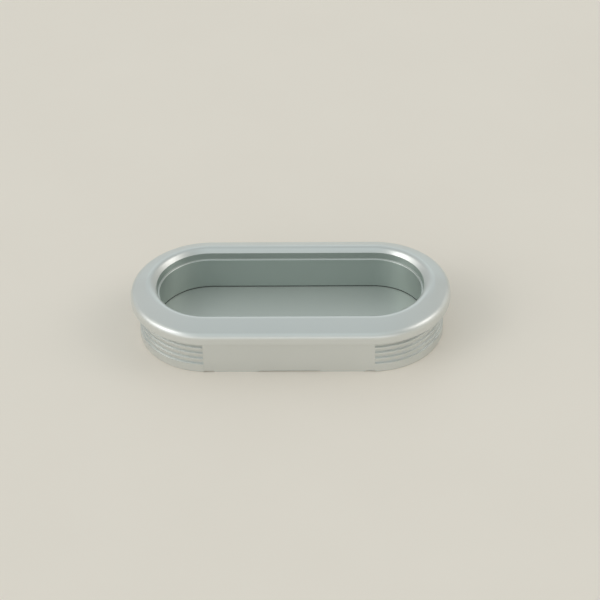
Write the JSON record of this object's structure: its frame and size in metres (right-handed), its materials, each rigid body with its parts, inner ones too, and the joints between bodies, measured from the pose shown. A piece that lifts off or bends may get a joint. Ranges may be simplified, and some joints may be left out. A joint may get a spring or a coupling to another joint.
{
  "type": "recessed pull handle",
  "caption": "Oval recessed finger pull with a domed rim, an undercut recess and a skirt with barbed ends that is pressed into a pocket.",
  "frame": {"origin": "middle of the skirt's lower edge, under the centre of the oval", "axes": "+X along the oval's length, +Y across it, +Z out of the pocket towards the hand"},
  "size_m": [0.08, 0.039, 0.0145],
  "materials": {
    "satin_silver_body": "satin silver paint on plastic",
    "satin_silver_floor": "satin silver paint on plastic"
  },
  "bodies": {
    "root": {"handle_body": "satin_silver_body", "floor_plate": "satin_silver_floor"}
  },
  "joints": []
}
